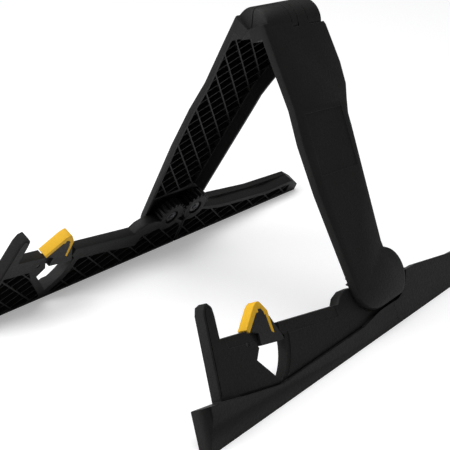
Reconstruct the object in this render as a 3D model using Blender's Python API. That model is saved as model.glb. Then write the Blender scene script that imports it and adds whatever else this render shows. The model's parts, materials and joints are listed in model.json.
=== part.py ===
"""Folding guitar stand.

Two leg panels hinge at the crown. Each carries a front arm and a rear arm, geared together at the foot, and a
flip-up rest in the front arm. Metres, +Z up, the instrument's side towards -Y.

Each leg is modelled in its own frame: X runs back along the foot, Y climbs the leg and Z points outward from the
plane in which the two folded legs meet. The left leg is the right one mirrored, apart from the crown's knuckles.
"""
import math

import bmesh
import bpy
from mathutils import Matrix, Vector

MM = 0.001

# Stance
LEAN = math.radians(26.88)
SPLAY = math.radians(3.88)
FOOT_HALF_GAP = 146.07 * MM

# Clearances
GAP = 0.3 * MM
INNER_FACE = 0.4 * MM
SWING_GAP = 1.2 * MM
OVERCUT = 30 * MM
RIM_STEPS = 2
SMOOTH_ANGLE = math.radians(30)

# Leg panel
CROWN_RADIUS = 22 * MM
PANEL_OUT = CROWN_RADIUS - GAP
PANEL_SKIN = 2.5 * MM
PANEL_WALL = 2.8 * MM
RIB_FACE = 13.4 * MM
RIB = 1.5 * MM
THIN_RIB = 0.9 * MM
RIB_LEDGE = 0.5 * MM
PANEL_FRONT = -50 * MM
FRONT_EDGE = ((-36, 327), (-37.5, 293), (-39, 240), (-46, 205), (-50, 153))
REAR_EDGE = ((18, 79), (41, 198), (43, 211), (49, 224), (57, 239), (61, 262))
BULB_CENTRE = (9 * MM, 46 * MM)
BULB_RADIUS = 28.5 * MM
BULB_FLAT = 2 * MM
BULB_CLEARANCE = 1 * MM
REAR_WALL_START = 76 * MM
CHEEK_DROP = 14 * MM
LATTICE_DROP = 23 * MM
BADGE_CORNERS = ((-36, 168), (24, 160), (33, 222), (-26, 231))
BADGE_DEPTH = 0.6 * MM
PANEL_ROUND = 5 * MM

# Crown hinge, stations measured back along its axis
CROWN_FRONT = -40 * MM
SEAM_LENGTH = 37.5 * MM
KNUCKLE_LENGTHS = (("left", 10.0 * MM), ("right", 16.3 * MM), ("left", 21.5 * MM))
CROWN_UNDERCUT = 6.8 * MM
CROWN_ROUND = 5 * MM
SEAM_HALF_GAP = 0.45 * MM
KNUCKLE_GAP = 0.8 * MM
SLOT_MARGIN = 0.45 * MM
HINGE_PIN_RADIUS = 2.6 * MM
HINGE_PIN_COVER = 3 * MM

# Arm pivots and gears
FRONT_PIVOT = (-20 * MM, 49 * MM)
REAR_PIVOT = (16 * MM, 49 * MM)
GEAR_TEETH = 20
SECTOR_TEETH = 11
FRONT_FIRST_TOOTH = math.radians(-18)
REAR_FIRST_TOOTH = math.radians(9)
GEAR_CORE = 10.9 * MM
TOOTH_TIP = 1.4 * MM
TOOTH_ROOT = 2.0 * MM
TIP_HALF_WIDTH = 0.55 * MM
ROOT_HALF_WIDTH = 1.7 * MM
HUB_RADIUS = 15.6 * MM
BOSS_RADIUS = 5 * MM
BOSS_COLLAR = 8 * MM
HUB_RECESS = 9 * MM
BOSS_END = 3 * MM
WASHER_RADIUS = 6.4 * MM
WASHER_THICKNESS = 1 * MM
SCREW_HEAD_RADIUS = 3.4 * MM
SCREW_RADIUS = 1.5 * MM
SCREW_TIP = 12 * MM

# Arms
WEB_OUT = 12.6 * MM
HUB_FACE_DROP = 0.3 * MM
BEAM_LAP = 0.6 * MM
FLARE_FOOT = 14.4 * MM
FLARE_RISE = 0.15
ARM_JOINT = 4.15 * MM
SHOULDER_HEIGHT = 33 * MM
ARM_SKIN = 2.5 * MM
WEB_ROUND = 1.2 * MM
GROOVE_WIDTH = 1.8 * MM
GROOVE_DEPTH = 1.2 * MM
STEP_DEPTH = 0.5 * MM
STEP_LINE = ((-243, 68.5), (-213, 62), (-166, 51), (-109, 40.5), (-80, 35))
TOE_TOP = (-308 * MM, 35 * MM)
TOE_BLANK = (-330, 39)
TOE_LEAN = math.atan(0.235)
TOE_CORNER = 9 * MM
TOE_SLACK = 60 * MM
POST_TOP = ((-244, 103), (-243.4, 111), (-247.5, 116.6), (-253.5, 115.8), (-258, 109))
POST_FOOT = (-279, 30)
ARM_TOP = ((-36, 49), (-45, 53), (-57, 54.5), (-68, 51.5), (-74, 45.8), (-249, 80.6))
BEAM_TOP = ((-21, 17), (-52, 12), (-196, 12), (-225, 18), (-253, 24), (-278, 30))
TAIL_END = 204 * MM
TAIL_TOP = ((204, 9), (188, 20.5), (146, 20.5), (66, 33.5), (31, 44))
REAR_BEAM_TOP = ((204, 9), (187, 21), (119, 27), (56, 38.5), (41, 39))

# Flip-up rest
REST_PIVOT = (-217 * MM, 62 * MM)
REST_SWEEP = 55 * MM
REST_EYE = 9 * MM
TONGUE_IN = 4.65 * MM
TONGUE_OUT = 8.35 * MM
TONGUE = ((-217, 53), (-199.3, 54.2), (-193, 56), (-193, 67), (-205, 70.9), (-217, 71))
TONGUE_SLOT = ((-217, 72), (-193, 72), (-193, 43), (-213, 43), (-225, 55))
REST_PIN_RADIUS = 2 * MM
TRACK_WIDTH = 5.5 * MM
TRACK_DEPTH = 0.9 * MM
TRACK_LAP = math.radians(3)
LEDGE_HEIGHT = 6 * MM
EYE_CLEARANCE = 1 * MM
REST_IN = 0.7 * MM
REST_OUT = 12.3 * MM
REST_WALL = ((-213, 44), (-192, 14))
REST_LIP = ((-212, 72), (-208, 65), (-204.2, 53))
REST_LEDGE = ((-168, 56), (-165.5, 64.5))
PAD_OUTER = ((-175.9, 57.6), (-174, 80), (-179.5, 90), (-182, 93), (-190, 90.5), (-211.6, 74.4))
PAD_INNER = ((-208.4, 70.2), (-188, 84.7), (-183.2, 86.7), (-178.2, 79), (-179, 60))
CORE_BOTTOM = ((-208, 71.3), (-197, 65.5), (-199.3, 53.5), (-179, 49), (-166, 47), (-166.5, 49.5))
CORE_TOP = ((-176, 80), (-183, 89), (-190, 87))

# Soft band on the end post
BAND_THICKNESS = 3 * MM
BAND_START = 31.5 * MM
BAND_BACK = 30 * MM
BAND_ROUND = 1.2 * MM
PAD_ROUND = 1.6 * MM

# Ribs
LATTICE_STEEP = (-1.42, 28.5 * MM, 263.4 * MM)
LATTICE_SHALLOW = (0.4, 14.25 * MM, 204.4 * MM)
ARM_STEEP = (-1.0, 26 * MM, 4 * MM)
ARM_SHALLOW = (0.45, 14 * MM, 2 * MM)
FRONT_POCKET = ((-296, 4), (-198, 4), (-198, 8), (-219, 39), (-227, 56.5), (-263, 63), (-275, 25), (-296, 28))
POCKET_FLOOR = 4 * MM
POCKET_WALL = 2.5 * MM
HUB_WALL = 1.9 * MM
MIDDLE_POCKET = ((-46, 37), (-60, 37), (-66, 24), (-107, 35), (-156, 45), (-160, 32), (-168, 19), (-182, 8), (-182, 4))
REAR_POCKET = ((187, 4), (187, 15.5), (146, 15.5), (66, 28.5), (44, 35))

# Colours, linear
BLACK_PLASTIC = (0.022, 0.021, 0.020, 1)
SOFT_BLACK = (0.012, 0.012, 0.012, 1)
YELLOW = (0.90, 0.56, 0.030, 1)
STEEL = (0.55, 0.55, 0.56, 1)


def mm(points):
    return [(x * MM, y * MM) for x, y in points]


def arc(centre, radius, start, end, steps):
    """Points of an arc, its angles in radians."""
    angles = [start + (end - start) * i / steps for i in range(steps + 1)]
    return [(centre[0] + radius * math.cos(a), centre[1] + radius * math.sin(a)) for a in angles]


def inset(points, wall):
    """Outline moved inwards by a wall, or outwards if it is negative. The points run anticlockwise."""
    moved = []
    for i, point in enumerate(points):
        here = Vector(point)
        into = (here - Vector(points[i - 1])).normalized()
        away = (Vector(points[(i + 1) % len(points)]) - here).normalized()
        inward = Vector((-into.y - away.y, into.x + away.x)).normalized()
        moved.append(tuple(here + inward * wall / inward.dot((-into.y, into.x))))
    return moved


def leg_frame():
    """Matrix of the right leg's own frame, with the middle of the stand's length at the origin."""
    lean = Matrix(((0, -math.sin(LEAN), math.cos(LEAN)), (1, 0, 0), (0, math.cos(LEAN), math.sin(LEAN))))
    turned = Matrix.Translation((FOOT_HALF_GAP, 0, 0)) @ Matrix.Rotation(SPLAY, 4, 'Z') @ lean.to_4x4()
    front = turned @ Vector((toe_front(0), 0, INNER_FACE))
    low = floor_height(FLARE_FOOT)
    back = turned @ Vector((TAIL_END, low, FLARE_FOOT + FLARE_RISE * low))
    return Matrix.Translation((0, -(front.y + back.y) / 2, 0)) @ turned


def floor_height(out):
    """Height up the leg at which the floor lies, this far out."""
    return -out * math.tan(LEAN)


def toe_front(height):
    """Front face of the foot, at this height up the leg."""
    return TOE_TOP[0] - (TOE_TOP[1] - height) * math.tan(TOE_LEAN)


def hinge_height(along):
    """Height up the leg of the crown's axis, this far along the foot."""
    return (FOOT_HALF_GAP - along * math.sin(SPLAY)) / (math.sin(LEAN) * math.cos(SPLAY))


def hinge_frame():
    """Crown's frame in the leg's own one: X away from the mirror plane, Y back along the axis, Z up."""
    frame = leg_frame()
    axis = (frame.to_3x3() @ Vector((1, hinge_height(1) - hinge_height(0), 0))).normalized()
    level = frame @ Vector((0, hinge_height(0), 0))
    origin = level - axis * (level.y - frame.translation.y) / axis.y
    rows = Matrix((Vector((1, 0, 0)), axis, Vector((1, 0, 0)).cross(axis)))
    return frame.inverted() @ Matrix.Translation(origin) @ rows.transposed().to_4x4()


def closing_frame():
    """Crown's frame turned so that its X axis points out of the plane in which the folded legs meet."""
    frame = hinge_frame()
    axis = frame.col[1].to_3d()
    out = Vector((0, 0, 1))
    rows = Matrix((out, axis, out.cross(axis)))
    return Matrix.Translation(frame.translation) @ rows.transposed().to_4x4()


def stations():
    """Knuckle owners with where each knuckle starts and ends."""
    start = CROWN_FRONT + SEAM_LENGTH
    places = []
    for side, length in KNUCKLE_LENGTHS:
        places.append((side, start, start + length))
        start += length
    return places


def collection(name):
    made = bpy.data.collections.new(name)
    bpy.context.scene.collection.children.link(made)
    return made


def material(name, colour, roughness, metallic=0.0):
    made = bpy.data.materials.new(name)
    made.use_nodes = True
    shader = made.node_tree.nodes["Principled BSDF"]
    shader.inputs["Base Color"].default_value = colour
    shader.inputs["Roughness"].default_value = roughness
    shader.inputs["Metallic"].default_value = metallic
    made.diffuse_color = colour
    return made


class Leg:
    """One leg: its frame, and what it takes to place pieces and cutters in it."""

    def __init__(self, side, parts, cutters):
        self.side = side
        self.parts = parts
        self.cutters = cutters
        self.frame = bpy.data.objects.new(side + "_leg_frame", None)
        parts.objects.link(self.frame)
        mirror = Matrix.Scale(-1 if side == "left" else 1, 4, (1, 0, 0))
        self.frame.matrix_world = mirror @ leg_frame()

    def place(self, name, mesh, matrix=None, finish=None):
        """Piece if it has a finish, and otherwise a cutter."""
        thing = bpy.data.objects.new(self.side + "_" + name, mesh)
        (self.parts if finish else self.cutters).objects.link(thing)
        thing.parent = self.frame
        thing.matrix_local = matrix or Matrix.Identity(4)
        if finish:
            mesh.materials.append(finish)
        else:
            thing.hide_render = True
            thing.display_type = 'WIRE'
        return thing

    def slab(self, name, outlines, low, high, finish=None, matrix=None, rounding=(0, 0), sharp=()):
        """Flat outlines in the frame's plane, solid from low to high along its outward axis.

        The rounding softens the rims of the low and the high face, apart from an edge between two sharp points.
        """
        curve = bpy.data.curves.new(name, 'CURVE')
        curve.dimensions = '2D'
        curve.fill_mode = 'BOTH'
        curve.extrude = (high - low) / 2
        for outline in outlines:
            spline = curve.splines.new('POLY')
            spline.points.add(len(outline) - 1)
            spline.use_cyclic_u = True
            for point, (x, y) in zip(spline.points, outline):
                point.co = (x, y, 0, 1)
        guide = bpy.data.objects.new(name, curve)
        self.cutters.objects.link(guide)
        bpy.context.view_layer.update()
        mesh = bpy.data.meshes.new_from_object(guide.evaluated_get(bpy.context.evaluated_depsgraph_get()))
        bpy.data.objects.remove(guide)
        shape = bmesh.new()
        shape.from_mesh(mesh)
        bmesh.ops.remove_doubles(shape, verts=shape.verts, dist=0.001 * MM)
        bmesh.ops.translate(shape, verts=shape.verts, vec=(0, 0, (low + high) / 2))
        bmesh.ops.recalc_face_normals(shape, faces=shape.faces)
        for level, width in zip((low, high), rounding):
            if width:
                round_rim(shape, level, width, sharp)
        shape.to_mesh(mesh)
        shape.free()
        return self.place(name, mesh, matrix, finish)

    def rod(self, name, centre, radius, low, high, finish=None, matrix=None, sides=32, rounding=0):
        """Round bar or hole along the outward axis. The rounding softens its low rim."""
        shape = bmesh.new()
        bmesh.ops.create_cone(shape, cap_ends=True, segments=sides, radius1=radius, radius2=radius,
                              depth=high - low, matrix=Matrix.Translation((*centre, (low + high) / 2)))
        if rounding:
            round_rim(shape, low, rounding, ())
        mesh = bpy.data.meshes.new(name)
        shape.to_mesh(mesh)
        shape.free()
        mesh.shade_smooth()
        mesh.set_sharp_from_angle(angle=SMOOTH_ANGLE)
        return self.place(name, mesh, matrix, finish)

    def block(self, name, low, high, matrix=None):
        """Box cutter between two corners."""
        shape = bmesh.new()
        bmesh.ops.create_cube(shape, size=1)
        middle = (Vector(low) + Vector(high)) / 2
        size = Vector(high) - Vector(low)
        bmesh.ops.transform(shape, matrix=Matrix.Translation(middle) @ Matrix.Diagonal((*size, 1)), verts=shape.verts)
        mesh = bpy.data.meshes.new(name)
        shape.to_mesh(mesh)
        shape.free()
        return self.place(name, mesh, matrix)


def round_rim(shape, level, width, sharp):
    """Softens the rim of a prism's flat end, apart from an edge between two sharp points."""
    def flat(element):
        return all(abs(vert.co.z - level) < GAP / 3 for vert in element.verts)

    def spared(edge):
        return bool(sharp) and all(any((vert.co.xy - Vector(point)).length < GAP / 3 for point in sharp)
                                   for vert in edge.verts)
    bmesh.ops.dissolve_faces(shape, faces=[face for face in shape.faces if flat(face)])
    rim = [edge for edge in shape.edges if flat(edge) and not spared(edge)]
    bmesh.ops.bevel(shape, geom=rim, offset=width, segments=RIM_STEPS, profile=0.5, affect='EDGES',
                    clamp_overlap=True)


def boolean(piece, tool, operation='DIFFERENCE'):
    step = piece.modifiers.new(tool.name, 'BOOLEAN')
    step.operation = operation
    step.solver = 'EXACT'
    step.object = tool
    return piece


def rib_cells(outline, steep, shallow):
    """Openings between two families of ribs, each given by slope, pitch and offset, over an outline's box."""
    (slope_a, pitch_a, offset_a), (slope_b, pitch_b, offset_b) = steep, shallow
    half_a = RIB / 2 * math.hypot(1, slope_a)
    half_b = THIN_RIB / 2 * math.hypot(1, slope_b)
    left, right = min(p[0] for p in outline), max(p[0] for p in outline)
    low, high = min(p[1] for p in outline), max(p[1] for p in outline)
    corners = [(x, y) for x in (left, right) for y in (low, high)]
    reach_a = [(y - slope_a * x - offset_a) / pitch_a for x, y in corners]
    reach_b = [(y - slope_b * x - offset_b) / pitch_b for x, y in corners]
    cells = []
    for i in range(math.floor(min(reach_a)), math.ceil(max(reach_a))):
        for j in range(math.floor(min(reach_b)), math.ceil(max(reach_b))):
            a0, a1 = offset_a + i * pitch_a + half_a, offset_a + (i + 1) * pitch_a - half_a
            b0, b1 = offset_b + j * pitch_b + half_b, offset_b + (j + 1) * pitch_b - half_b
            crossings = [(a, b) for a, b in ((a0, b0), (a1, b0), (a1, b1), (a0, b1))]
            cell = [((a - b) / (slope_b - slope_a), b + slope_b * (a - b) / (slope_b - slope_a))
                    for a, b in crossings]
            inside_x = max(p[0] for p in cell) > left and min(p[0] for p in cell) < right
            inside_y = max(p[1] for p in cell) > low and min(p[1] for p in cell) < high
            if inside_x and inside_y:
                cells.append(cell)
    return cells


def ribbed_pocket(leg, piece, name, outline, low, high, steep, shallow):
    """Cuts the openings between ribs, kept inside an outline."""
    cells = leg.slab(name + "_cells", rib_cells(outline, steep, shallow), low, high)
    boolean(cells, leg.slab(name + "_limit", [outline], low - OVERCUT, high + OVERCUT), 'INTERSECT')
    boolean(piece, cells)


def gear_sector(centre, radius, first):
    """Toothed sector, its teeth counted anticlockwise from an angle."""
    pitch = 2 * math.pi / GEAR_TEETH
    root, tip = radius - TOOTH_ROOT, radius + TOOTH_TIP
    points = []
    for i in range(SECTOR_TEETH):
        middle = first + i * pitch
        for reach, half, sign in ((root, ROOT_HALF_WIDTH, -1), (tip, TIP_HALF_WIDTH, -1),
                                  (tip, TIP_HALF_WIDTH, 1), (root, ROOT_HALF_WIDTH, 1)):
            angle = middle + sign * half / reach
            points.append((centre[0] + reach * math.cos(angle), centre[1] + reach * math.sin(angle)))
    last = first + (SECTOR_TEETH - 1) * pitch
    return points + arc(centre, GEAR_CORE, last, first, SECTOR_TEETH)


def panel_outline(drop):
    """Leg's side view, closed at the top by a line that lies a drop below the hinge."""
    bottom = -math.asin(1 - BULB_FLAT / BULB_RADIUS)
    rear = mm(REAR_EDGE)
    notch = math.acos((rear[0][0] - BULB_CENTRE[0]) / BULB_RADIUS)
    front = mm(FRONT_EDGE)
    corner = FRONT_PIVOT[0] - PANEL_FRONT
    top = [(rear[-1][0], hinge_height(rear[-1][0]) - drop), (front[0][0], hinge_height(front[0][0]) - drop)]
    level = (FRONT_PIVOT[0], BULB_CENTRE[1] - BULB_RADIUS + BULB_FLAT + corner)
    return (rear + top + front[1:] + arc(level, corner, math.pi, 1.5 * math.pi, 8)
            + arc(BULB_CENTRE, BULB_RADIUS, bottom, notch, 14))


def deep_pocket():
    """Room inside the leg for the folded arms: open at the front and the foot, walled at the rear."""
    rear = inset(panel_outline(CHEEK_DROP), PANEL_WALL)[:len(REAR_EDGE) + 1]
    start = (rear[0][0], REAR_WALL_START)
    front = PANEL_FRONT - OVERCUT
    top = hinge_height(mm(FRONT_EDGE)[0][0]) - CHEEK_DROP
    return [start] + rear + [(mm(FRONT_EDGE)[0][0], top), (front, top), (front, -OVERCUT),
                             (TAIL_END / 2, -OVERCUT), (TAIL_END / 2, REAR_WALL_START)]


def lattice_outline():
    """Field of ribs, from above the foot bulb to below the crown."""
    wall = PANEL_WALL + RIB_LEDGE
    walls = inset(panel_outline(LATTICE_DROP), wall)
    low = REAR_WALL_START + RIB / 2
    return [(x, y) for x, y in walls if y > low] + [(PANEL_FRONT + wall, low), (mm(REAR_EDGE)[0][0] - wall, low)]


def bulb_outline():
    """Inside of the foot bulb, below the field of ribs."""
    wall = PANEL_WALL + RIB_LEDGE
    walls = inset(panel_outline(LATTICE_DROP), wall)
    high = REAR_WALL_START - RIB / 2
    return [(PANEL_FRONT + wall, high)] + [(x, y) for x, y in walls if y < high]


def leg_panel(leg, finish):
    """Hollow moulded leg with its ribs, arm bosses and crown knuckles."""
    outline = panel_outline(0)
    top = outline[len(REAR_EDGE):len(REAR_EDGE) + 2]
    panel = leg.slab("leg_panel", [outline], INNER_FACE, PANEL_OUT, finish, rounding=(0, PANEL_ROUND), sharp=top)
    hinge = hinge_frame()
    turn = hinge @ Matrix.Rotation(math.radians(-90), 4, 'X')
    crown_end = stations()[-1][2]
    reach = 2 * CROWN_RADIUS
    crown = leg.rod("crown", (0, 0), CROWN_RADIUS, CROWN_FRONT, crown_end, matrix=turn, sides=48,
                    rounding=CROWN_ROUND)
    boolean(crown, leg.block("crown_under", (-reach, CROWN_FRONT - reach, -reach),
                             (reach, crown_end + reach, -CROWN_UNDERCUT), hinge))
    own = [place for place in stations() if place[0] == leg.side]
    other = [place for place in stations() if place[0] != leg.side]
    seam_end = own[0][1] + SLOT_MARGIN
    boolean(crown, leg.block("seam", (-reach, CROWN_FRONT - reach, -reach), (SEAM_HALF_GAP, seam_end, reach), hinge))
    boolean(crown, leg.block("seam_relief", (-reach, CROWN_FRONT - reach, -reach), (INNER_FACE, seam_end, 0),
                             closing_frame()))
    for i, (side, start, end) in enumerate(own[1:]):
        boolean(crown, leg.block(f"between_{i}", (-reach, own[i][2] - KNUCKLE_GAP / 2, -reach),
                                 (SEAM_HALF_GAP, start + KNUCKLE_GAP / 2, reach), hinge))
    if own[-1][2] < crown_end:
        boolean(crown, leg.block("behind", (-reach, own[-1][2] - KNUCKLE_GAP / 2, -reach),
                                 (SEAM_HALF_GAP, crown_end + reach, reach), hinge))
    boolean(panel, crown, 'UNION')
    boolean(panel, leg.slab("arm_room", [deep_pocket()], -OVERCUT, RIB_FACE))
    skin = PANEL_OUT - PANEL_SKIN
    ribbed_pocket(leg, panel, "lattice", lattice_outline(), RIB_FACE - MM, skin, LATTICE_STEEP, LATTICE_SHALLOW)
    boolean(panel, leg.slab("bulb_pocket", [bulb_outline()], RIB_FACE - MM, skin))
    for i, (side, start, end) in enumerate(other):
        past = OVERCUT if end == crown_end else 0
        boolean(panel, leg.rod(f"slot_{i}", (0, 0), CROWN_RADIUS + SWING_GAP, start - SLOT_MARGIN,
                               end + SLOT_MARGIN + past, matrix=turn, sides=48))
    boolean(panel, leg.rod("pin_hole", (0, 0), HINGE_PIN_RADIUS + GAP, CROWN_FRONT + HINGE_PIN_COVER - GAP,
                           crown_end - HINGE_PIN_COVER + GAP, matrix=turn, sides=20))
    for name, pivot in (("front", FRONT_PIVOT), ("rear", REAR_PIVOT)):
        boolean(panel, leg.rod(name + "_boss", pivot, BOSS_RADIUS, BOSS_END, skin + PANEL_SKIN / 2), 'UNION')
        boolean(panel, leg.rod(name + "_collar", pivot, BOSS_COLLAR, WEB_OUT + GAP, skin + PANEL_SKIN / 3), 'UNION')
        boolean(panel, leg.rod(name + "_screw_hole", pivot, SCREW_RADIUS + GAP, -OVERCUT, SCREW_TIP + GAP, sides=16))
    boolean(panel, leg.slab("badge", [mm(BADGE_CORNERS)], PANEL_OUT - BADGE_DEPTH, PANEL_OUT + OVERCUT))
    return panel


def gear_radius():
    return (REAR_PIVOT[0] - FRONT_PIVOT[0]) / 2


def add_hub(leg, arm, name, pivot, first_tooth):
    """Round hub with its toothed sector, bored for the leg's boss and recessed for the washer."""
    low, high = INNER_FACE + HUB_FACE_DROP, WEB_OUT - HUB_FACE_DROP
    boolean(arm, leg.rod(name + "_hub", pivot, HUB_RADIUS, low, high), 'UNION')
    teeth = gear_sector(pivot, gear_radius(), first_tooth)
    boolean(arm, leg.slab(name + "_teeth", [teeth], low + HUB_FACE_DROP, high - HUB_FACE_DROP), 'UNION')
    boolean(arm, leg.rod(name + "_recess", pivot, HUB_RECESS, -OVERCUT, BOSS_END))
    boolean(arm, leg.rod(name + "_bore", pivot, BOSS_RADIUS + GAP, -OVERCUT, OVERCUT))


def cut_foot(leg, arm, name):
    """Flares the beam's outer face and cuts the arm flat on the floor."""
    reach = 2 * TAIL_END
    flare = Matrix.Translation((0, 0, FLARE_FOOT)) @ Matrix.Rotation(math.atan(FLARE_RISE), 4, 'X')
    boolean(arm, leg.block(name + "_flare", (-reach, -reach, 0), (reach, reach, reach), flare))
    level = Matrix.Rotation(LEAN - math.pi / 2, 4, 'X')
    boolean(arm, leg.block(name + "_floor", (-reach, -reach, -reach), (reach, reach, 0), level))


def front_arm(leg, finish):
    """Front foot: web, thick lower beam, end post, hub and the notch for the rest."""
    rear = ARM_JOINT - GAP
    web_outline = ([(rear, -OVERCUT), (rear, SHOULDER_HEIGHT), FRONT_PIVOT]
                   + mm(ARM_TOP + POST_TOP + (POST_FOOT, TOE_BLANK)) + [(TOE_BLANK[0] * MM, -OVERCUT)])
    arm = leg.slab("front_arm", [web_outline], INNER_FACE, WEB_OUT, finish, rounding=(WEB_ROUND, WEB_ROUND))
    beam_outline = ([(rear, -OVERCUT), (rear, BEAM_TOP[0][1] * MM)] + mm(BEAM_TOP + (TOE_BLANK,))
                    + [(TOE_BLANK[0] * MM, -OVERCUT)])
    boolean(arm, leg.slab("front_beam", [beam_outline], WEB_OUT - BEAM_LAP - WEB_ROUND, PANEL_OUT), 'UNION')
    add_hub(leg, arm, "front", FRONT_PIVOT, FRONT_FIRST_TOOTH)
    cut_foot(leg, arm, "front")
    round_toe(leg, arm)
    end = rear - POCKET_WALL
    under_hub = arc(FRONT_PIVOT, HUB_RADIUS + HUB_WALL, math.radians(-50), math.radians(-140), 6)
    middle = [(end, POCKET_FLOOR), (end, SHOULDER_HEIGHT - HUB_WALL)] + under_hub + mm(MIDDLE_POCKET)
    for name, outline in (("toe_pocket", mm(FRONT_POCKET)), ("middle_pocket", middle)):
        ribbed_pocket(leg, arm, name, outline, -OVERCUT, WEB_OUT - ARM_SKIN, ARM_STEEP, ARM_SHALLOW)
    cut_rest_notch(leg, arm)
    foot_line = mm(BEAM_TOP[1:-1])
    groove = [(x, y - GAP) for x, y in foot_line] + [(x, y + GROOVE_WIDTH) for x, y in foot_line[::-1]]
    boolean(arm, leg.slab("groove", [groove], WEB_OUT - GROOVE_DEPTH, OVERCUT))
    step = mm(STEP_LINE)
    above = [(x, y + OVERCUT) for x, y in (step[-1], step[0])]
    boolean(arm, leg.slab("step", [step + above], WEB_OUT - STEP_DEPTH, OVERCUT))
    boolean(arm, leg.slab("band_seat", [inset(band_outline(), -GAP)], -OVERCUT, OVERCUT))
    return arm


def round_toe(leg, arm):
    """Leans the toe's front face back and rounds its outer front corner."""
    reach = 2 * abs(TOE_TOP[0])
    bottom = Matrix.Translation((toe_front(0), 0, 0)) @ Matrix.Rotation(-TOE_LEAN, 4, 'Z')
    upright = bottom @ Matrix.Rotation(math.radians(-90), 4, 'X')
    out = FLARE_FOOT + FLARE_RISE * TOE_TOP[1] / 2
    corner = arc((TOE_CORNER, -out + TOE_CORNER), TOE_CORNER, math.pi, 1.5 * math.pi, 8)
    outside = ([(-TOE_SLACK, OVERCUT), (-TOE_SLACK, -TOE_SLACK), (TOE_CORNER, -TOE_SLACK)]
               + corner[::-1] + [(0, OVERCUT)])
    boolean(arm, leg.slab("toe_shape", [outside], -TOE_SLACK, reach / 2, matrix=upright))


def cut_rest_notch(leg, arm):
    """Sector in which the rest swings, the slot for its tongue and the rim round the sector."""
    wall = mm(REST_WALL)
    ledge = mm(REST_LEDGE)
    start = math.atan2(wall[1][1] - REST_PIVOT[1], wall[1][0] - REST_PIVOT[0])
    end = math.asin((ledge[0][1] - LEDGE_HEIGHT - REST_PIVOT[1]) / REST_SWEEP)
    lip = mm(REST_LIP)
    above = REST_PIVOT[1] + OVERCUT
    notch = (wall + arc(REST_PIVOT, REST_SWEEP, start, end, 10) + ledge
             + [(ledge[1][0], above), (lip[0][0], above)] + lip)
    boolean(arm, leg.slab("rest_notch", [notch], -OVERCUT, OVERCUT))
    low, high = TONGUE_IN - GAP, TONGUE_OUT + GAP
    boolean(arm, leg.rod("eye_room", REST_PIVOT, REST_EYE + EYE_CLEARANCE, low, high))
    boolean(arm, leg.slab("tongue_slot", [mm(TONGUE_SLOT)], low, high))
    boolean(arm, leg.rod("arm_pin_hole", REST_PIVOT, REST_PIN_RADIUS + GAP, -OVERCUT, OVERCUT, sides=16))
    first, last = start + TRACK_LAP, end + TRACK_LAP
    track = (arc(REST_PIVOT, REST_SWEEP + TRACK_WIDTH, first, last, 12)
             + arc(REST_PIVOT, REST_SWEEP - TRACK_WIDTH, last, first, 12))
    boolean(arm, leg.slab("rest_track", [track], WEB_OUT - TRACK_DEPTH, OVERCUT))


def rear_arm(leg, finish):
    """Rear foot: web, thick beam cut back round the leg's bulb, and hub."""
    front = ARM_JOINT + GAP
    tail = [(front, -OVERCUT), (TAIL_END, -OVERCUT)]
    hub_side = [REAR_PIVOT, (front, SHOULDER_HEIGHT)]
    arm = leg.slab("rear_arm", [tail + mm(TAIL_TOP) + hub_side], INNER_FACE, WEB_OUT, finish,
                   rounding=(WEB_ROUND, 0))
    beam = leg.slab("rear_beam", [tail + mm(REAR_BEAM_TOP) + [(front, REAR_BEAM_TOP[-1][1] * MM)]],
                    WEB_OUT - BEAM_LAP, PANEL_OUT)
    boolean(beam, leg.rod("bulb_room", BULB_CENTRE, BULB_RADIUS + BULB_CLEARANCE, -OVERCUT, 2 * OVERCUT, sides=48))
    boolean(arm, beam, 'UNION')
    add_hub(leg, arm, "rear", REAR_PIVOT, REAR_FIRST_TOOTH)
    cut_foot(leg, arm, "rear")
    under_hub = arc(REAR_PIVOT, HUB_RADIUS + HUB_WALL, math.radians(-30), math.radians(-115), 6)
    start = front + POCKET_WALL
    pocket = mm(REAR_POCKET) + under_hub + [(start, SHOULDER_HEIGHT - HUB_WALL), (start, POCKET_FLOOR)]
    ribbed_pocket(leg, arm, "rear_pocket", pocket, -OVERCUT, WEB_OUT - ARM_SKIN, ARM_STEEP, ARM_SHALLOW)
    return arm


def pad_outline():
    return mm(PAD_OUTER + PAD_INNER)


def band_outline():
    """Band that wraps the end post's front and top."""
    foot, head = Vector(mm([POST_FOOT])[0]), Vector(mm(POST_TOP)[-1])
    start = foot + (head - foot) * (BAND_START - foot.y) / (head.y - foot.y)
    outer = mm(POST_TOP[1:]) + [tuple(start)]
    closed = mm(POST_TOP) + [tuple(start), tuple(foot + Vector((BAND_BACK, 0)))]
    inner = inset(closed, BAND_THICKNESS)[1:len(outer) + 1]
    return outer + inner[::-1]


def rest(leg, core_finish, pad_finish):
    """Flip-up rest: carrier with a tongue for its pin, and its grip strip."""
    core = leg.slab("rest_core", [mm(CORE_BOTTOM + CORE_TOP)], REST_IN, REST_OUT, core_finish)
    boolean(core, leg.rod("eye", REST_PIVOT, REST_EYE, TONGUE_IN, TONGUE_OUT), 'UNION')
    boolean(core, leg.slab("tongue", [mm(TONGUE)], TONGUE_IN + HUB_FACE_DROP / 2, TONGUE_OUT - HUB_FACE_DROP / 2),
            'UNION')
    boolean(core, leg.rod("eye_pin_hole", REST_PIVOT, REST_PIN_RADIUS + GAP, -OVERCUT, OVERCUT, sides=16))
    boolean(core, leg.slab("pad_seat", [inset(pad_outline(), -GAP)], -OVERCUT, OVERCUT))
    leg.slab("rest_pad", [pad_outline()], REST_IN, REST_OUT, pad_finish, rounding=(PAD_ROUND, PAD_ROUND))


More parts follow.
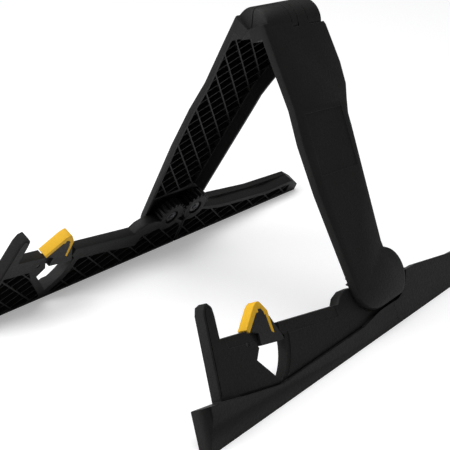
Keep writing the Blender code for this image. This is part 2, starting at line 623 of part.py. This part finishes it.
def fasteners(leg, finish):
    """Pivot screws and washers, and the rest's pin."""
    top = BOSS_END - GAP
    for name, pivot in (("front", FRONT_PIVOT), ("rear", REAR_PIVOT)):
        washer = leg.rod(name + "_pivot_washer", pivot, WASHER_RADIUS, top - WASHER_THICKNESS, top, finish)
        boolean(washer, leg.rod(name + "_washer_hole", pivot, SCREW_RADIUS + GAP, -OVERCUT, OVERCUT, sides=16))
        head = top - WASHER_THICKNESS - GAP
        screw = leg.rod(name + "_pivot_screw", pivot, SCREW_HEAD_RADIUS, INNER_FACE, head, finish, sides=24)
        boolean(screw, leg.rod(name + "_shank", pivot, SCREW_RADIUS, INNER_FACE + GAP, SCREW_TIP, sides=16), 'UNION')
    leg.rod("rest_pin", REST_PIVOT, REST_PIN_RADIUS, REST_IN + GAP, REST_OUT - GAP, finish, sides=16)


def hinge_pin(leg, finish):
    """Pin through the crown's knuckles."""
    turn = hinge_frame() @ Matrix.Rotation(math.radians(-90), 4, 'X')
    pin = leg.rod("hinge_pin", (0, 0), HINGE_PIN_RADIUS, CROWN_FRONT + HINGE_PIN_COVER,
                  stations()[-1][2] - HINGE_PIN_COVER, finish, matrix=turn, sides=20)
    pin.name = "hinge_pin"


def build():
    for thing in list(bpy.data.objects):
        bpy.data.objects.remove(thing)
    parts = collection("guitar_stand")
    cutters = collection("cutters")
    for side in ("right", "left"):
        leg = Leg(side, parts, cutters)
        leg_panel(leg, material(side + "_panel_plastic", BLACK_PLASTIC, 0.55))
        front_arm(leg, material(side + "_front_arm_plastic", BLACK_PLASTIC, 0.55))
        rear_arm(leg, material(side + "_rear_arm_plastic", BLACK_PLASTIC, 0.55))
        rest(leg, material(side + "_core_plastic", BLACK_PLASTIC, 0.6), material(side + "_yellow", YELLOW, 0.5))
        leg.slab("stop_pad", [band_outline()], INNER_FACE, WEB_OUT, material(side + "_band", SOFT_BLACK, 0.8),
                 rounding=(BAND_ROUND, BAND_ROUND))
        fasteners(leg, material(side + "_steel", STEEL, 0.35, 1.0))
        if side == "right":
            hinge_pin(leg, material("pin_steel", STEEL, 0.35, 1.0))


build()
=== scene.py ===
"""Folding guitar stand: finishes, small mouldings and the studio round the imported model. Metres, +Z up."""
import json
import math

import bmesh
import bpy
from bpy.props import FloatProperty, FloatVectorProperty, PointerProperty
from mathutils import Matrix, Vector


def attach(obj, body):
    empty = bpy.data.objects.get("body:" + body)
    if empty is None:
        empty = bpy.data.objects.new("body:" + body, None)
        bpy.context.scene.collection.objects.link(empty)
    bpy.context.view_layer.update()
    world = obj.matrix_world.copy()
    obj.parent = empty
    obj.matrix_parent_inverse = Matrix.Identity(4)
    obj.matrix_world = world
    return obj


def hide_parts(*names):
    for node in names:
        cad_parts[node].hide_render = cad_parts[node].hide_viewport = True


bl_info = {
    "name": "Folding Guitar Stand",
    "version": (1, 0, 0),
    "blender": (4, 5, 0),
    "location": "View3D > Sidebar > Stand",
    "description": "Dresses the folding guitar stand and sets it in a plain studio",
    "category": "Object",
}

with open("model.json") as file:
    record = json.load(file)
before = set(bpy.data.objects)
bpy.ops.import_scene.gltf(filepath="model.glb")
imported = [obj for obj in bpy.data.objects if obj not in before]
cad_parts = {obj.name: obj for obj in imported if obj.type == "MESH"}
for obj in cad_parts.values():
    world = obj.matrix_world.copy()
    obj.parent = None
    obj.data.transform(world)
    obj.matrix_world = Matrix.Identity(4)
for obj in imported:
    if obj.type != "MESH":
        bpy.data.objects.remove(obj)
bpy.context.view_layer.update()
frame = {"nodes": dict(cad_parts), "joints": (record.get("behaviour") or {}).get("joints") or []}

MM = 0.001
SIDES = ("right", "left")
MOULDED = ("leg_panel", "front_arm", "rear_arm")

# Places in a leg's own frame: X back along the foot, Y up the leg, Z outward from the closing plane
FRONT_PIVOT = (-20 * MM, 49 * MM)
REAR_PIVOT = (16 * MM, 49 * MM)
PIVOT_DEPTH = 6.5 * MM
SCREW_TOP = 0.4 * MM
SCREW_SEAT = 1.4 * MM
SCREW_TIP = 12 * MM
SCREW_SHANK = 1.5 * MM
SCREW_POINT = 1 * MM
SCREW_CLEARANCE = 0.05 * MM
SCREW_SIDES = 24
REST_IN = 0.7 * MM
REST_OUT = 12.3 * MM

# The yellow grips' outline, in millimetres
GRIP_FRONT = ((-175.9, 57.6), (-174, 80), (-179.5, 90))
GRIP_APEX = (-183.6, 88.2)
GRIP_APEX_RADIUS = 4.4
GRIP_APEX_ARC = (25, 120)
GRIP_REAR = ((-190, 90.5), (-211.6, 74.4))
GRIP_INSIDE = ((-208.4, 70.2), (-188, 84.7), (-183.2, 86.7), (-178.2, 79), (-179, 60))
LOCK_CORNERS = (2, 1, 3)
LOCK_PROUD = 0.1 * MM

# Edges that turn by less than the first two angles are shaded smooth, and those above the third are rounded
PIECE_SMOOTH = math.radians(32)
NODE_SMOOTH = math.radians(34)
ROUNDED_FROM = math.radians(35)
WELD_DISTANCE = 0.002 * MM

# Grain, and edge wear with painted highlight, that all finishes share
GRAIN_SCALE = 1000.0
CLOUD_SCALE = 30.0
PIT_SHARE = 0.6
GRAIN_RANGE = (0.3, 0.7)
SPECK_SHADE = (0.4, 0.4, 0.4, 1)
SPECK_SHARE = 3
EDGE_RADIUS = 0.45 * MM
# The edge mask lightens the colour at edges: rubbed wear, and painted highlight where light would catch the
# rounded edges
EDGE_WEAR_SHEEN_RANGE = (0.995, 0.8)
EDGE_WEAR_SHEEN_SHARE = 0.6
GLOSS_SWING = 0.07
BUMP_STRENGTH = 0.6


def mm(points):
    """Points given in millimetres, in metres."""
    return [(x * MM, y * MM) for x, y in points]


def joint(name):
    """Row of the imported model's joint of that name."""
    return next(row for row in frame["joints"] if row["name"] == name)


def leg_matrix(side):
    """Frame of one leg, read from where its arms are hinged."""
    front = Vector(joint("right_front_arm_fold")["pos_m"])
    rear = Vector(joint("right_rear_arm_fold")["pos_m"])
    out = -Vector(joint("right_front_arm_fold")["axis"]).normalized()
    along = (rear - front).normalized()
    up = out.cross(along)
    matrix = Matrix((along, up, out)).transposed().to_4x4()
    matrix.translation = front - along * FRONT_PIVOT[0] - up * FRONT_PIVOT[1] - out * PIVOT_DEPTH
    return Matrix.Scale(-1, 4, (1, 0, 0)) @ matrix if side == "left" else matrix


def arc(centre, radius, start, end, steps):
    """Points of an arc, its angles in degrees."""
    angles = [math.radians(start + (end - start) * i / steps) for i in range(steps + 1)]
    return [(centre[0] + radius * math.cos(a), centre[1] + radius * math.sin(a)) for a in angles]


# Meshes

def prism(outline, low, high):
    """Solid with a flat outline, from low to high along Z."""
    shape = bmesh.new()
    face = shape.faces.new([shape.verts.new((x, y, low)) for x, y in outline])
    made = bmesh.ops.extrude_face_region(shape, geom=[face])
    moved = [item for item in made["geom"] if isinstance(item, bmesh.types.BMVert)]
    bmesh.ops.translate(shape, verts=moved, vec=(0, 0, high - low))
    bmesh.ops.recalc_face_normals(shape, faces=shape.faces)
    return shape


def soften(shape, width, segments=2):
    """Rounds the edges of a solid."""
    sharp = [edge for edge in shape.edges if edge.is_manifold and edge.calc_face_angle() > ROUNDED_FROM]
    bmesh.ops.bevel(shape, geom=sharp, offset=width, segments=segments, profile=0.5, affect='EDGES',
                    clamp_overlap=True)
    return shape


def turned(profile, sides):
    """Solid turned round Z from a profile of radius and height, closed at both ends."""
    shape = bmesh.new()
    rings = []
    for radius, height in profile:
        ring = [shape.verts.new((radius * math.cos(2 * math.pi * i / sides),
                                 radius * math.sin(2 * math.pi * i / sides), height)) for i in range(sides)]
        rings.append(ring)
    for low, high in zip(rings, rings[1:]):
        for i in range(sides):
            shape.faces.new((low[i - 1], low[i], high[i], high[i - 1]))
    shape.faces.new(rings[0][::-1])
    shape.faces.new(rings[-1])
    bmesh.ops.recalc_face_normals(shape, faces=shape.faces)
    return shape


def piece(shape, name, side, finish, body, matrix=None):
    """Turns a shape in a leg's frame into a named piece that rides on a body."""
    mesh = bpy.data.meshes.new(name)
    shape.to_mesh(mesh)
    shape.free()
    mesh.transform(leg_matrix(side) @ (matrix or Matrix.Identity(4)))
    if side == "left":
        mesh.flip_normals()
    mesh.shade_smooth()
    mesh.set_sharp_from_angle(angle=PIECE_SMOOTH)
    mesh.materials.append(finish)
    made = bpy.data.objects.new(side + "_" + name, mesh)
    bpy.context.scene.collection.objects.link(made)
    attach(made, side + "_" + body)
    return made


def smoothing_group():
    """Geometry nodes that shade a faceted solid smooth, apart from its true edges."""
    name = "shade by angle"
    if name in bpy.data.node_groups:
        return bpy.data.node_groups[name]
    tree = bpy.data.node_groups.new(name, 'GeometryNodeTree')
    tree.interface.new_socket(name="Geometry", in_out='INPUT', socket_type='NodeSocketGeometry')
    tree.interface.new_socket(name="Geometry", in_out='OUTPUT', socket_type='NodeSocketGeometry')
    start = tree.nodes.new('NodeGroupInput')
    end = tree.nodes.new('NodeGroupOutput')
    faces = tree.nodes.new('GeometryNodeSetShadeSmooth')
    faces.domain = 'FACE'
    edges = tree.nodes.new('GeometryNodeSetShadeSmooth')
    edges.domain = 'EDGE'
    angle = tree.nodes.new('GeometryNodeInputMeshEdgeAngle')
    flat = tree.nodes.new('FunctionNodeCompare')
    flat.data_type = 'FLOAT'
    flat.operation = 'LESS_THAN'
    flat.inputs['B'].default_value = NODE_SMOOTH
    tree.links.new(start.outputs[0], faces.inputs['Geometry'])
    tree.links.new(faces.outputs[0], edges.inputs['Geometry'])
    tree.links.new(angle.outputs['Unsigned Angle'], flat.inputs['A'])
    tree.links.new(flat.outputs[0], edges.inputs['Shade Smooth'])
    tree.links.new(edges.outputs[0], end.inputs[0])
    return tree


def dress(node, finish):
    """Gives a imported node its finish, and shades it as the smooth moulding that it is."""
    thing = frame["nodes"][node]
    weld = thing.modifiers.new("weld", 'WELD')
    weld.merge_threshold = WELD_DISTANCE
    shade = thing.modifiers.new("shade by angle", 'NODES')
    shade.node_group = smoothing_group()
    thing.data.materials.clear()
    thing.data.materials.append(finish)
    return thing


# Materials

def new_group(name, inputs, outputs):
    """Empty shader group with named sockets, given as name, type and default."""
    tree = bpy.data.node_groups.new(name, 'ShaderNodeTree')
    for socket, kind, default in inputs:
        made = tree.interface.new_socket(name=socket, in_out='INPUT', socket_type=kind)
        made.default_value = default
    for socket, kind in outputs:
        tree.interface.new_socket(name=socket, in_out='OUTPUT', socket_type=kind)
    return tree, tree.nodes.new('NodeGroupInput'), tree.nodes.new('NodeGroupOutput')


def add(tree, kind, **values):
    """New node, its settings and its inputs given by name; an underscore stands for a space."""
    node = tree.nodes.new(kind)
    for name, value in values.items():
        if hasattr(node, name):
            setattr(node, name, value)
        else:
            node.inputs[name.replace("_", " ")].default_value = value
    return node


def moulded_grain():
    """Fine grain of moulded plastic, with slow changes in shade over it."""
    name = "moulded grain"
    if name in bpy.data.node_groups:
        return bpy.data.node_groups[name]
    tree, start, end = new_group(name, [("Grain Scale", 'NodeSocketFloat', GRAIN_SCALE),
                                        ("Cloud Scale", 'NodeSocketFloat', CLOUD_SCALE)],
                                 [("Height", 'NodeSocketFloat'), ("Speckle", 'NodeSocketFloat'),
                                  ("Cloud", 'NodeSocketFloat')])
    place = add(tree, 'ShaderNodeTexCoord')
    fine = add(tree, 'ShaderNodeTexNoise', Detail=3.0, Roughness=0.65)
    pits = add(tree, 'ShaderNodeTexVoronoi', feature='SMOOTH_F1')
    cloud = add(tree, 'ShaderNodeTexNoise', Detail=4.0, Roughness=0.55)
    wider = add(tree, 'ShaderNodeMath', operation='MULTIPLY')
    wider.inputs[1].default_value = PIT_SHARE
    both = add(tree, 'ShaderNodeMath', operation='ADD')
    spread = add(tree, 'ShaderNodeMapRange')
    spread.inputs['From Min'].default_value = GRAIN_RANGE[0]
    spread.inputs['From Max'].default_value = GRAIN_RANGE[1]
    for texture in (fine, pits, cloud):
        tree.links.new(place.outputs['Object'], texture.inputs['Vector'])
    tree.links.new(start.outputs['Grain Scale'], fine.inputs['Scale'])
    tree.links.new(start.outputs['Grain Scale'], wider.inputs[0])
    tree.links.new(wider.outputs[0], pits.inputs['Scale'])
    tree.links.new(start.outputs['Cloud Scale'], cloud.inputs['Scale'])
    tree.links.new(fine.outputs['Fac'], both.inputs[0])
    tree.links.new(pits.outputs['Distance'], both.inputs[1])
    tree.links.new(fine.outputs['Fac'], spread.inputs['Value'])
    tree.links.new(both.outputs[0], end.inputs['Height'])
    tree.links.new(spread.outputs[0], end.inputs['Speckle'])
    tree.links.new(cloud.outputs['Fac'], end.inputs['Cloud'])
    return tree


def edge_wear_sheen_group():
    """Rounded normal near sharp edges, and a mask of those edges for their rubbed wear and painted
    highlight.
    """
    name = "worn edges"
    if name in bpy.data.node_groups:
        return bpy.data.node_groups[name]
    tree, start, end = new_group(name, [("Radius", 'NodeSocketFloat', EDGE_RADIUS)],
                                 [("Normal", 'NodeSocketVector'), ("Edge", 'NodeSocketFloat')])
    bevel = add(tree, 'ShaderNodeBevel', samples=6)
    true = add(tree, 'ShaderNodeNewGeometry')
    dot = add(tree, 'ShaderNodeVectorMath', operation='DOT_PRODUCT')
    mask = add(tree, 'ShaderNodeMapRange')
    mask.inputs['From Min'].default_value = EDGE_WEAR_SHEEN_RANGE[0]
    mask.inputs['From Max'].default_value = EDGE_WEAR_SHEEN_RANGE[1]
    tree.links.new(start.outputs['Radius'], bevel.inputs['Radius'])
    tree.links.new(bevel.outputs[0], dot.inputs[0])
    tree.links.new(true.outputs['Normal'], dot.inputs[1])
    tree.links.new(dot.outputs['Value'], mask.inputs['Value'])
    tree.links.new(bevel.outputs[0], end.inputs['Normal'])
    tree.links.new(mask.outputs[0], end.inputs['Edge'])
    return tree


def finish(name, colour, edge_wear_sheen_colour, roughness, grain_scale, grain_depth, specular=0.5, metallic=0.0,
           variation=0.25):
    """Material with grain, slow changes in shade, and edges lightened for rubbed wear and as painted
    highlight.
    """
    made = bpy.data.materials.new(name + "_finish")
    made.use_nodes = True
    tree = made.node_tree
    shader = tree.nodes['Principled BSDF']
    shader.inputs['Specular IOR Level'].default_value = specular
    shader.inputs['Metallic'].default_value = metallic
    grain = add(tree, 'ShaderNodeGroup', node_tree=moulded_grain())
    grain.inputs['Grain Scale'].default_value = grain_scale
    edges = add(tree, 'ShaderNodeGroup', node_tree=edge_wear_sheen_group())
    edges.inputs['Radius'].default_value = EDGE_RADIUS
    shade = add(tree, 'ShaderNodeMix', data_type='RGBA')
    shade.inputs['A'].default_value = (*[c * (1 - variation) for c in colour], 1)
    shade.inputs['B'].default_value = (*[c * (1 + variation) for c in colour], 1)
    speck = add(tree, 'ShaderNodeMix', data_type='RGBA', blend_type='MULTIPLY')
    speck.inputs['B'].default_value = SPECK_SHADE
    amount = add(tree, 'ShaderNodeMath', operation='MULTIPLY')
    amount.inputs[1].default_value = SPECK_SHARE * variation
    # Lightens edges towards the edge colour: rubbed wear, and painted highlight where light would catch them
    lifted = add(tree, 'ShaderNodeMix', data_type='RGBA')
    lifted.inputs['B'].default_value = (*edge_wear_sheen_colour, 1)
    edge_wear_sheen = add(tree, 'ShaderNodeMath', operation='MULTIPLY')
    edge_wear_sheen.inputs[1].default_value = EDGE_WEAR_SHEEN_SHARE
    gloss = add(tree, 'ShaderNodeMapRange')
    gloss.inputs['To Min'].default_value = roughness - GLOSS_SWING
    gloss.inputs['To Max'].default_value = roughness + GLOSS_SWING
    bump = add(tree, 'ShaderNodeBump', Strength=BUMP_STRENGTH, Distance=grain_depth)
    links = tree.links
    links.new(grain.outputs['Cloud'], shade.inputs['Factor'])
    links.new(shade.outputs['Result'], speck.inputs['A'])
    links.new(grain.outputs['Speckle'], amount.inputs[0])
    links.new(amount.outputs[0], speck.inputs['Factor'])
    links.new(speck.outputs['Result'], lifted.inputs['A'])
    links.new(edges.outputs['Edge'], edge_wear_sheen.inputs[0])
    links.new(edge_wear_sheen.outputs[0], lifted.inputs['Factor'])
    links.new(lifted.outputs['Result'], shader.inputs['Base Color'])
    links.new(grain.outputs['Speckle'], gloss.inputs['Value'])
    links.new(gloss.outputs[0], shader.inputs['Roughness'])
    links.new(grain.outputs['Height'], bump.inputs['Height'])
    links.new(edges.outputs['Normal'], bump.inputs['Normal'])
    links.new(bump.outputs[0], shader.inputs['Normal'])
    return made


FINISHES = {}


def finishes():
    """All finishes of the stand by the record's slot names, from the colours in the panel."""
    looks = bpy.context.scene.stand_finish
    if not FINISHES:
        FINISHES.update({
            "black_plastic": finish("black_plastic", looks.plastic_colour, looks.plastic_wear_sheen, 0.48,
                                    looks.grain_scale, looks.grain_depth, specular=0.22),
            "core_plastic": finish("core_plastic", looks.carrier_colour, looks.plastic_wear_sheen, 0.52,
                                   looks.grain_scale, looks.grain_depth, specular=0.3),
            "yellow_grip": finish("yellow_grip", looks.grip_colour, looks.grip_wear_sheen, 0.45,
                                  looks.grain_scale * 0.7, looks.grain_depth * 0.3, specular=0.14,
                                  variation=0.04),
            "soft_band": finish("soft_band", looks.band_colour, looks.plastic_wear_sheen, 0.7,
                                looks.grain_scale * 1.3, looks.grain_depth, specular=0.2),
            "steel": finish("steel", looks.steel_colour, looks.steel_wear_sheen, 0.36,
                            looks.grain_scale, looks.grain_depth * 0.3, metallic=1.0, variation=0.1),
        })
    return FINISHES


# Properties

class StandFinish(bpy.types.PropertyGroup):
    """Colours and surface of the stand."""
    plastic_colour: FloatVectorProperty(
        name="Plastic", description="Black moulded plastic", subtype='COLOR',
        default=(0.0130, 0.0127, 0.0125))
    # Lighter plastic at edges: rubbed wear, and painted highlight along the rims
    plastic_wear_sheen: FloatVectorProperty(
        name="Plastic edges", description="Plastic where edges are rubbed", subtype='COLOR',
        default=(0.052, 0.049, 0.046))
    carrier_colour: FloatVectorProperty(
        name="Carrier", description="Plastic under the yellow grips", subtype='COLOR',
        default=(0.026, 0.0256, 0.0252))
    grip_colour: FloatVectorProperty(
        name="Grip", description="Yellow grip", subtype='COLOR', default=(0.88, 0.50, 0.030))
    # Lighter yellow at the grip's edges: painted highlight along its rounded rims, with some wear
    grip_wear_sheen: FloatVectorProperty(
        name="Grip edges", description="Yellow grip at its edges", subtype='COLOR',
        default=(0.93, 0.62, 0.05))
    band_colour: FloatVectorProperty(
        name="Band", description="Soft band on the end posts", subtype='COLOR',
        default=(0.017, 0.017, 0.017))
    steel_colour: FloatVectorProperty(
        name="Steel", description="Blackened screws, washers and pins", subtype='COLOR',
        default=(0.10, 0.10, 0.105))
    # Lighter steel at edges: rubbed wear, and painted highlight along them
    steel_wear_sheen: FloatVectorProperty(
        name="Steel edges", description="Blackened steel where it is rubbed", subtype='COLOR',
        default=(0.24, 0.24, 0.25))
    grain_scale: FloatProperty(
        name="Grain", description="Grains of the moulded surface in a metre", default=620.0, min=100.0)
    grain_depth: FloatProperty(
        name="Grain depth", description="Depth of the moulded grain", default=0.25 * MM, unit='LENGTH')


class StandDetails(bpy.types.PropertyGroup):
    """Sizes of the small mouldings."""
    grip_round: FloatProperty(
        name="Grip rounding", description="Rounding of the grip's edges", default=1.1 * MM, unit='LENGTH')
    lock_step: FloatProperty(
        name="Lock step", description="Size of the steps that lock grip and carrier", default=1.6 * MM,
        unit='LENGTH')
    screw_head: FloatProperty(
        name="Screw head", description="Radius of a pivot screw's head", default=3.4 * MM, unit='LENGTH')
    socket: FloatProperty(
        name="Screw socket", description="Radius of the socket in a screw's head", default=1.5 * MM,
        unit='LENGTH')


class StageSettings(bpy.types.PropertyGroup):
    """Floor and lamps."""
    floor_colour: FloatVectorProperty(
        name="Floor", description="Pale studio floor", subtype='COLOR', default=(0.86, 0.86, 0.87))
    floor_size: FloatProperty(
        name="Floor size", description="Width of the floor", default=14.0, unit='LENGTH')
    floor_lift: FloatProperty(
        name="Floor lift", description="Light that the camera sees on the floor besides the lamps'",
        default=0.31)
    key_power: FloatProperty(
        name="Key lamp", description="Power of the lamp from the front", default=20.0, subtype='POWER')
    top_power: FloatProperty(
        name="Top lamp", description="Power of the lamp overhead", default=30.0, subtype='POWER')
    fill: FloatProperty(name="Fill", description="Strength of the light from all round", default=0.16)


# Operators

class STAND_OT_dress_mouldings(bpy.types.Operator):
    """Give the leg panels and arms their black plastic"""
    bl_idname = "stand.dress_mouldings"
    bl_label = "Dress Mouldings"

    def execute(self, context):
        for side in SIDES:
            for node in MOULDED:
                dress(f"{side}_{node}", finishes()["black_plastic"])
            dress(f"{side}_stop_pad", finishes()["soft_band"])
        return {'FINISHED'}


class STAND_OT_make_rests(bpy.types.Operator):
    """Make the yellow grips of the flip-up rests and dress their carriers"""
    bl_idname = "stand.make_rests"
    bl_label = "Make Rests"

    def execute(self, context):
        sizes = context.scene.stand_details
        step = sizes.lock_step
        for side in SIDES:
            dress(f"{side}_rest_core", finishes()["core_plastic"])
            inside = mm(GRIP_INSIDE)
            outline = mm(GRIP_FRONT) + arc(mm([GRIP_APEX])[0], GRIP_APEX_RADIUS * MM, *GRIP_APEX_ARC, 4)
            outline += mm(GRIP_REAR) + inside
            grip = piece(soften(prism(outline, REST_IN, REST_OUT), sizes.grip_round, segments=3),
                         "grip", side, finishes()["yellow_grip"], "rest")
            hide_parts(f"{side}_rest_pad")
            for i, corner in enumerate(LOCK_CORNERS):
                x, y = inside[corner]
                tooth = [(x - step, y - step), (x + step, y - step),
                         (x + step, y + step), (x - step, y + step)]
                piece(soften(prism(tooth, REST_IN - LOCK_PROUD, REST_OUT + LOCK_PROUD), step / 5),
                      f"grip_lock_{i}", side, finishes()["yellow_grip"], "rest")
        return {'FINISHED'}


def screw_profile(head, socket):
    """Radius and height from the socket's floor over the domed head and down the shank to the tip."""
    under_head = SCREW_SEAT + SCREW_CLEARANCE
    return [(socket * 0.8, SCREW_SEAT), (socket, SCREW_TOP + 0.1 * MM), (socket * 1.1, SCREW_TOP),
            (head * 0.62, SCREW_TOP + 0.08 * MM), (head * 0.86, SCREW_TOP + 0.25 * MM),
            (head, SCREW_TOP + 0.6 * MM), (head, under_head), (SCREW_SHANK, under_head),
            (SCREW_SHANK, SCREW_TIP - SCREW_POINT), (SCREW_SHANK * 0.4, SCREW_TIP)]


class STAND_OT_make_fasteners(bpy.types.Operator):
    """Make the pivot screws with their sockets, and dress washers and pins"""
    bl_idname = "stand.make_fasteners"
    bl_label = "Make Fasteners"

    def execute(self, context):
        head = context.scene.stand_details.screw_head
        socket = context.scene.stand_details.socket
        steel = finishes()["steel"]
        for side in SIDES:
            for name, (x, y) in (("front", FRONT_PIVOT), ("rear", REAR_PIVOT)):
                dress(f"{side}_{name}_pivot_washer", steel)
                screw = piece(turned(screw_profile(head, socket), SCREW_SIDES), f"{name}_screw", side, steel,
                              "leg", Matrix.Translation((x, y, 0)))
                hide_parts(f"{side}_{name}_pivot_screw")
            dress(f"{side}_rest_pin", steel)
        dress("hinge_pin", steel)
        return {'FINISHED'}


# Size, place and target of each lamp
KEY_LAMP = ((1.3, 1.3), (-0.75, -1.5, 1.15), (0, -0.05, 0.1))
TOP_LAMP = ((2.0, 2.0), (-0.2, 0.1, 1.9), (0, 0, 0.1))
FLOOR_ROUGHNESS = 0.9
FLOOR_SPECULAR = 0.1
CAMERA_PLACE = (1.18695, -1.42955, 0.94196)
CAMERA_LENS = 158.70
CAMERA_SENSOR = 36
CAMERA_AZIMUTH = math.radians(40.202)
CAMERA_ELEVATION = math.radians(24.780)


class STAND_OT_set_stage(bpy.types.Operator):
    """Set the pale floor, the lamps and the camera"""
    bl_idname = "stand.set_stage"
    bl_label = "Set Stage"

    def execute(self, context):
        stage = context.scene.stand_stage
        make_floor(stage)
        make_world(stage)
        make_lamp("key", stage.key_power, *KEY_LAMP)
        make_lamp("top", stage.top_power, *TOP_LAMP)
        make_camera()
        context.scene.view_settings.view_transform = 'Standard'
        return {'FINISHED'}


def make_floor(stage):
    """Pale floor: the camera sees it lifted towards white, and it keeps the shadow."""
    shape = bmesh.new()
    bmesh.ops.create_grid(shape, x_segments=4, y_segments=4, size=stage.floor_size / 2)
    mesh = bpy.data.meshes.new("floor")
    shape.to_mesh(mesh)
    shape.free()
    floor = bpy.data.objects.new("floor", mesh)
    bpy.context.scene.collection.objects.link(floor)
    made = bpy.data.materials.new("floor_paper")
    made.use_nodes = True
    tree = made.node_tree
    shader = tree.nodes['Principled BSDF']
    shader.inputs['Base Color'].default_value = (*stage.floor_colour, 1)
    shader.inputs['Roughness'].default_value = FLOOR_ROUGHNESS
    shader.inputs['Specular IOR Level'].default_value = FLOOR_SPECULAR
    ray = add(tree, 'ShaderNodeLightPath')
    lift = add(tree, 'ShaderNodeMath', operation='MULTIPLY')
    lift.inputs[1].default_value = stage.floor_lift
    shader.inputs['Emission Color'].default_value = (1, 1, 1, 1)
    tree.links.new(ray.outputs['Is Camera Ray'], lift.inputs[0])
    tree.links.new(lift.outputs[0], shader.inputs['Emission Strength'])
    mesh.materials.append(made)


def make_world(stage):
    """White where the camera sees it, and a soft grey fill for everything else."""
    world = bpy.data.worlds.new("studio")
    bpy.context.scene.world = world
    world.use_nodes = True
    tree = world.node_tree
    sky = tree.nodes['Background']
    sky.inputs['Color'].default_value = (1, 1, 1, 1)
    ray = add(tree, 'ShaderNodeLightPath')
    level = add(tree, 'ShaderNodeMapRange')
    level.inputs['To Min'].default_value = stage.fill
    level.inputs['To Max'].default_value = 1.0
    tree.links.new(ray.outputs['Is Camera Ray'], level.inputs['Value'])
    tree.links.new(level.outputs[0], sky.inputs['Strength'])


def make_lamp(name, power, size, place, target):
    """Rectangular soft lamp that points at a target."""
    lamp = bpy.data.lights.new(name, 'AREA')
    lamp.shape = 'RECTANGLE'
    lamp.size, lamp.size_y = size
    lamp.energy = power
    holder = bpy.data.objects.new(name, lamp)
    bpy.context.scene.collection.objects.link(holder)
    holder.location = place
    holder.rotation_euler = (Vector(target) - Vector(place)).to_track_quat('-Z', 'Y').to_euler()


def make_camera():
    """Camera at the photograph's distance and angle."""
    camera = bpy.data.cameras.new("camera")
    camera.lens = CAMERA_LENS
    camera.sensor_width = CAMERA_SENSOR
    holder = bpy.data.objects.new("camera", camera)
    bpy.context.scene.collection.objects.link(holder)
    back = Vector((math.sin(CAMERA_AZIMUTH) * math.cos(CAMERA_ELEVATION),
                   -math.cos(CAMERA_AZIMUTH) * math.cos(CAMERA_ELEVATION), math.sin(CAMERA_ELEVATION)))
    holder.location = CAMERA_PLACE
    holder.rotation_euler = (-back).to_track_quat('-Z', 'Y').to_euler()
    bpy.context.scene.camera = holder


class STAND_PT_panel(bpy.types.Panel):
    """Colours, sizes and steps of the guitar stand"""
    bl_idname = "STAND_PT_panel"
    bl_label = "Guitar Stand"
    bl_space_type = 'VIEW_3D'
    bl_region_type = 'UI'
    bl_category = "Stand"

    def draw(self, context):
        for group in (context.scene.stand_finish, context.scene.stand_details, context.scene.stand_stage):
            box = self.layout.box()
            for name in group.__annotations__:
                box.prop(group, name)
        for operator in OPERATORS:
            self.layout.operator(operator.bl_idname)


OPERATORS = (STAND_OT_dress_mouldings, STAND_OT_make_rests, STAND_OT_make_fasteners, STAND_OT_set_stage)
CLASSES = (StandFinish, StandDetails, StageSettings) + OPERATORS + (STAND_PT_panel,)


def register():
    for made in CLASSES:
        bpy.utils.register_class(made)
    bpy.types.Scene.stand_finish = PointerProperty(type=StandFinish)
    bpy.types.Scene.stand_details = PointerProperty(type=StandDetails)
    bpy.types.Scene.stand_stage = PointerProperty(type=StageSettings)


def unregister():
    del bpy.types.Scene.stand_stage
    del bpy.types.Scene.stand_details
    del bpy.types.Scene.stand_finish
    for made in reversed(CLASSES):
        bpy.utils.unregister_class(made)


def main():
    register()
    bpy.ops.stand.dress_mouldings()
    bpy.ops.stand.make_rests()
    bpy.ops.stand.make_fasteners()
    bpy.ops.stand.set_stage()


if __name__ == "__main__":
    main()
